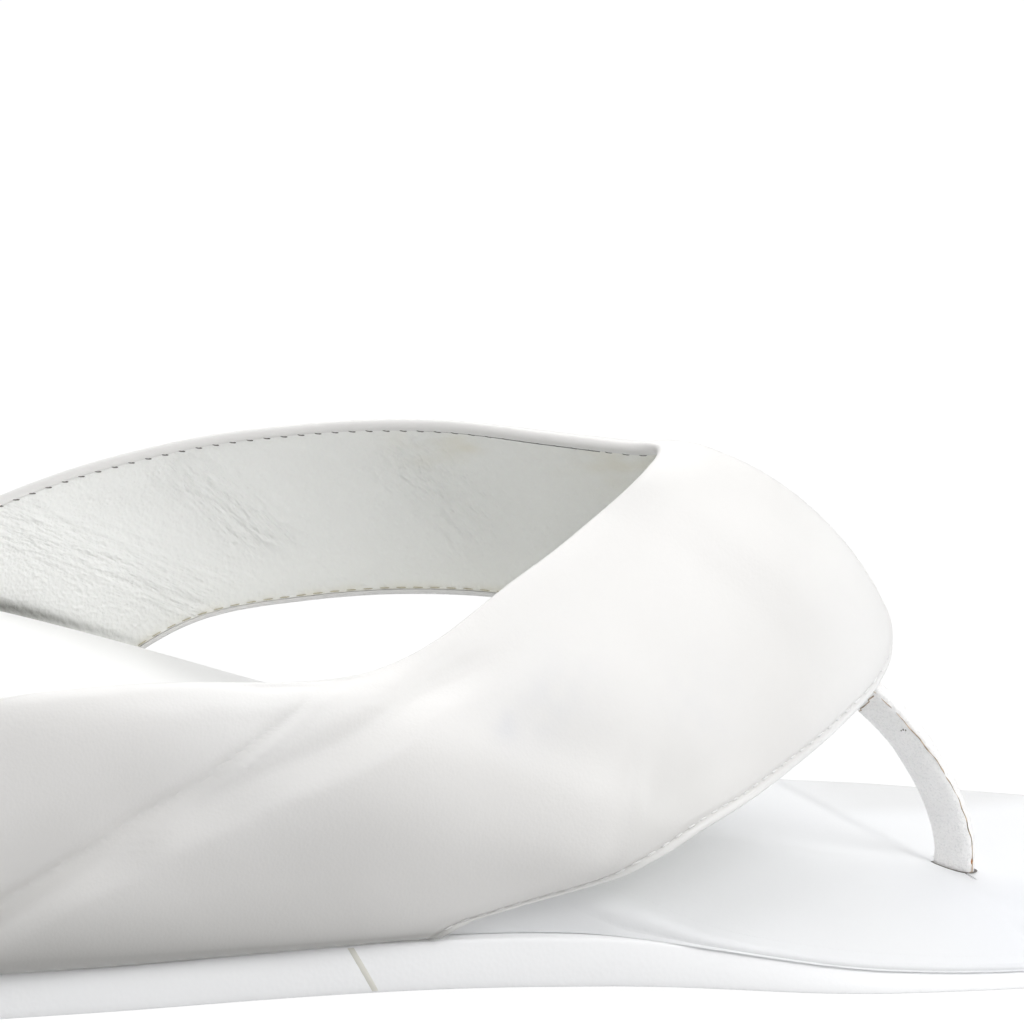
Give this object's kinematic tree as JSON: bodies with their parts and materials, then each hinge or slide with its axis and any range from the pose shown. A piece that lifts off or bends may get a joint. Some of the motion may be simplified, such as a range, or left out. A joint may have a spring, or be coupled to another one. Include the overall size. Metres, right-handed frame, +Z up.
{
  "type": "flat sandal",
  "caption": "Leather thong sandal on a low wedge, with one wide V-shaped strap that covers the sides and meets a curved toe post.",
  "frame": {"origin": "on the floor, under the middle of the sandal's bounding box", "axes": "+X from heel to toe, +Y towards the lateral side, +Z up from the floor"},
  "size_m": [0.233, 0.0792, 0.0618],
  "materials": {
    "sole": "white moulded, matte",
    "upper_leather": "white smooth calf, soft sheen",
    "insole_leather": "white smooth, satin",
    "post_leather": "off-white grained, satin"
  },
  "bodies": {
    "root": {"outsole": "sole", "footbed": "upper_leather", "insole": "insole_leather", "strap_upper": "upper_leather", "toe_post": "post_leather"}
  },
  "joints": []
}
